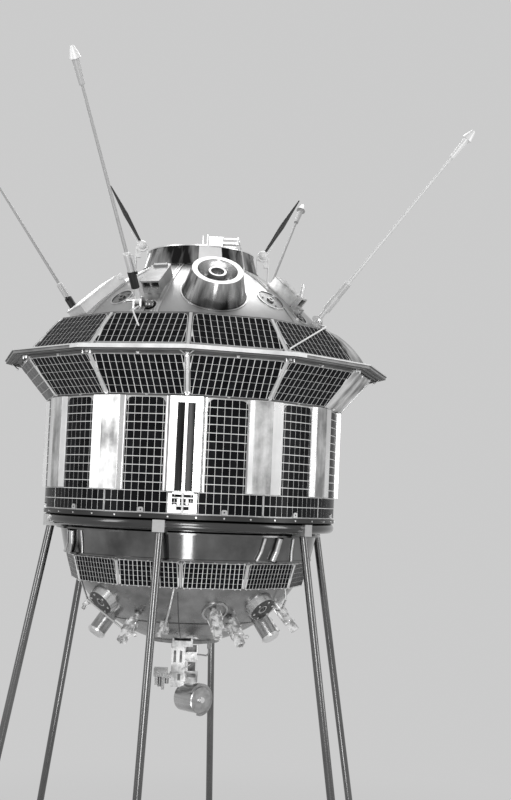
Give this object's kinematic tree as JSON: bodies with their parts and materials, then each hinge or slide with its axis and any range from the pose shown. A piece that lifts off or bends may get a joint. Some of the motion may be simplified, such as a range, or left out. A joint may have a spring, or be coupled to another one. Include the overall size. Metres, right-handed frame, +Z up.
{
  "type": "space probe display model on a stand",
  "caption": "Full-size display model of an early lunar probe: facetted skirt of solar cells round a cylinder, domed ends and folding rod antennas, on a tubular ring stand.",
  "frame": {"origin": "centre of the circle of the stand's foot bolts, on the floor", "axes": "+Z up along the probe's long axis, -Y towards the front"},
  "size_m": [1.652, 1.5699, 2.8893],
  "materials": {
    "antenna_rod": "pale painted rod with a dark insulator",
    "black_rod": "black paint, satin",
    "bowl_skin": "spun sheet, bright",
    "brushed_can": "turned, brushed round",
    "clamp_steel": "machined, satin",
    "dome_skin": "pale metallic paint, satin",
    "hull_sheet": "rolled sheet, satin",
    "polished_sheet": "polished sheet",
    "skirt_metal": "painted frame, satin",
    "solar_cell": "dark cells in a pale grid, glossy",
    "stand_tube": "drawn steel tube, satin",
    "white_paint": "white paint, satin"
  },
  "bodies": {
    "probe_and_stand": {"antenna_brackets": "clamp_steel", "antenna_wires": "white_paint", "band_frame": "skirt_metal", "band_panels": "solar_cell", "black_spindles": "black_rod", "bowl_bosses": "bowl_skin", "camera_box": "dome_skin", "canister": "brushed_can", "collar_drum": "polished_sheet", "collar_gear": "white_paint", "cylinder_panels": "solar_cell", "dome_ports": "clamp_steel", "dome_trim": "clamp_steel", "gas_nozzles": "clamp_steel", "horn_core": "polished_sheet", "hull_cylinder": "hull_sheet", "lower_bowl": "bowl_skin", "lower_cone": "polished_sheet", "lower_pipes": "clamp_steel", "mast_frame": "clamp_steel", "mast_gear": "clamp_steel", "panel_clips": "clamp_steel", "plain_sheets": "polished_sheet", "radiator_box": "white_paint", "ring_clamps": "clamp_steel", "sensor_cans": "brushed_can", "sensor_horn": "polished_sheet", "shutter_boxes": "polished_sheet", "shutter_drive": "clamp_steel", "skirt_lower_panels": "solar_cell", "skirt_lower_wall": "skirt_metal", "skirt_ribs": "polished_sheet", "skirt_rim": "skirt_metal", "skirt_upper_panels": "solar_cell", "skirt_upper_wall": "skirt_metal", "spindle_balls": "polished_sheet", "spindle_yokes": "white_paint", "stand_legs": "stand_tube", "stand_ring": "stand_tube", "upper_dome": "dome_skin", "window_box": "dome_skin"},
    "front_antenna": {"front_antenna": "antenna_rod"},
    "right_antenna": {"right_antenna": "antenna_rod"},
    "rear_antenna": {"rear_antenna": "antenna_rod"},
    "left_antenna": {"left_antenna": "antenna_rod"}
  },
  "joints": [
    {"name": "front_fold", "type": "hinge", "parent": "probe_and_stand", "child": "front_antenna", "pos_m": [-0.16064, -0.373, 2.27609], "axis": [0.9184, -0.3955, 0], "range_deg": [-35.4, 0]},
    {"name": "right_fold", "type": "hinge", "parent": "probe_and_stand", "child": "right_antenna", "pos_m": [0.38283, -0.13557, 2.27609], "axis": [0.3338, 0.9426, 0], "range_deg": [-39.2, 0]},
    {"name": "rear_fold", "type": "hinge", "parent": "probe_and_stand", "child": "rear_antenna", "pos_m": [0.16518, 0.37101, 2.27609], "axis": [-0.9135, 0.4067, 0], "range_deg": [-37.7, 0]},
    {"name": "left_fold", "type": "hinge", "parent": "probe_and_stand", "child": "left_antenna", "pos_m": [-0.39319, 0.10168, 2.27609], "axis": [-0.2504, -0.9681, 0], "range_deg": [-35.5, 0]}
  ]
}
